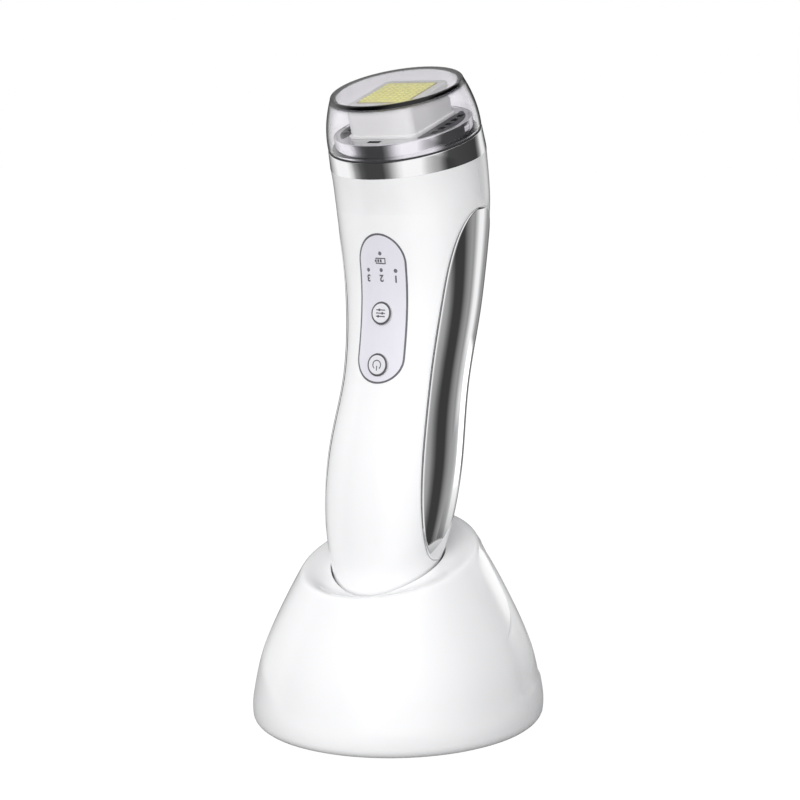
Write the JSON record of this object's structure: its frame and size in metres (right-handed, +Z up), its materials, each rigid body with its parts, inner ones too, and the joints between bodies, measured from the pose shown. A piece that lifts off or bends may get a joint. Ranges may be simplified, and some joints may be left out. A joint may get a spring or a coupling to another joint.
{
  "type": "facial toning device",
  "caption": "Hand-held radio-frequency face toning wand with a clear-capped chrome head, side electrodes and push buttons, leaning in a bell-shaped charging stand.",
  "frame": {"origin": "centre of the stand's footprint, on the surface it stands on", "axes": "+Z up; -Y is the front, where the buttons face; +X is to the right seen from the front"},
  "size_m": [0.0912, 0.0982, 0.2075],
  "materials": {
    "white_plastic": "glossy",
    "chrome_metal": "polished",
    "panel_plastic": "satin",
    "button_plastic": "glossy",
    "lens_plastic": "glossy",
    "clear_plastic": "clear",
    "board": "satin",
    "dark_plastic": "satin",
    "pale_plastic": "satin",
    "winding": "varnished",
    "tinned_steel": "bright",
    "cell_sleeve": "glossy",
    "lead_black": "satin",
    "lead_red": "satin",
    "lead_orange": "satin",
    "gold": "plated",
    "brass": "satin",
    "dark_rubber": "matt",
    "block_plastic": "satin",
    "iron": "rough"
  },
  "bodies": {
    "stand": {"stand_shell": "white_plastic", "contact_block": "white_plastic", "contact_barrels": "brass", "stand_board": "board", "dc_jack": "dark_plastic", "stand_leads": "lead_red", "ballast": "iron", "base_plate": "white_plastic", "stand_feet": "dark_rubber", "base_screws": "tinned_steel"},
    "handset": {"front_casing": "white_plastic", "rear_casing": "white_plastic", "left_hand_electrode": "chrome_metal", "right_hand_electrode": "chrome_metal", "control_panel": "panel_plastic", "indicator_lenses": "lens_plastic", "light_guide": "clear_plastic", "main_board": "board", "tact_switches": "dark_plastic", "indicator_leds": "pale_plastic", "rf_transformer": "winding", "shield_can": "tinned_steel", "battery": "cell_sleeve", "battery_holder": "dark_plastic", "battery_leads": "lead_black", "heel_plate": "pale_plastic", "charge_contacts": "gold", "charge_leads": "lead_red", "head_carrier": "pale_plastic", "collar_ring": "chrome_metal", "cap_seal": "dark_rubber", "head_ring": "chrome_metal", "treatment_block": "block_plastic", "treatment_plate": "gold", "treatment_dots": "gold", "head_screws": "tinned_steel", "rf_leads": "lead_orange"},
    "mode_button": {"mode_button": "button_plastic"},
    "power_button": {"power_button": "button_plastic"},
    "cap": {"clear_cap": "clear_plastic"},
    "left_pin": {"left_contact_pin": "gold"},
    "right_pin": {"right_contact_pin": "gold"}
  },
  "joints": [
    {"name": "handset_lift", "type": "slide", "parent": "stand", "child": "handset", "axis": [0, 0.2079, 0.9781], "range_m": [0, 0.06]},
    {"name": "cap_pull", "type": "slide", "parent": "handset", "child": "cap", "axis": [0, -0.3173, 0.9483], "range_m": [0, 0.045]},
    {"name": "mode_press", "type": "slide", "parent": "handset", "child": "mode_button", "axis": [0, 0.9925, -0.1219], "range_m": [0, 0.0005], "stiffness_N_per_m": 900, "springref_m": -0.0003},
    {"name": "power_press", "type": "slide", "parent": "handset", "child": "power_button", "axis": [0, 0.9925, -0.1219], "range_m": [0, 0.0005], "stiffness_N_per_m": 900, "springref_m": -0.0003},
    {"name": "left_pin_press", "type": "slide", "parent": "stand", "child": "left_pin", "axis": [0, -0.2079, -0.9781], "range_m": [0, 0.0007], "stiffness_N_per_m": 400, "springref_m": -0.0004},
    {"name": "right_pin_press", "type": "slide", "parent": "stand", "child": "right_pin", "axis": [0, -0.2079, -0.9781], "range_m": [0, 0.0007], "stiffness_N_per_m": 400, "springref_m": -0.0004}
  ]
}
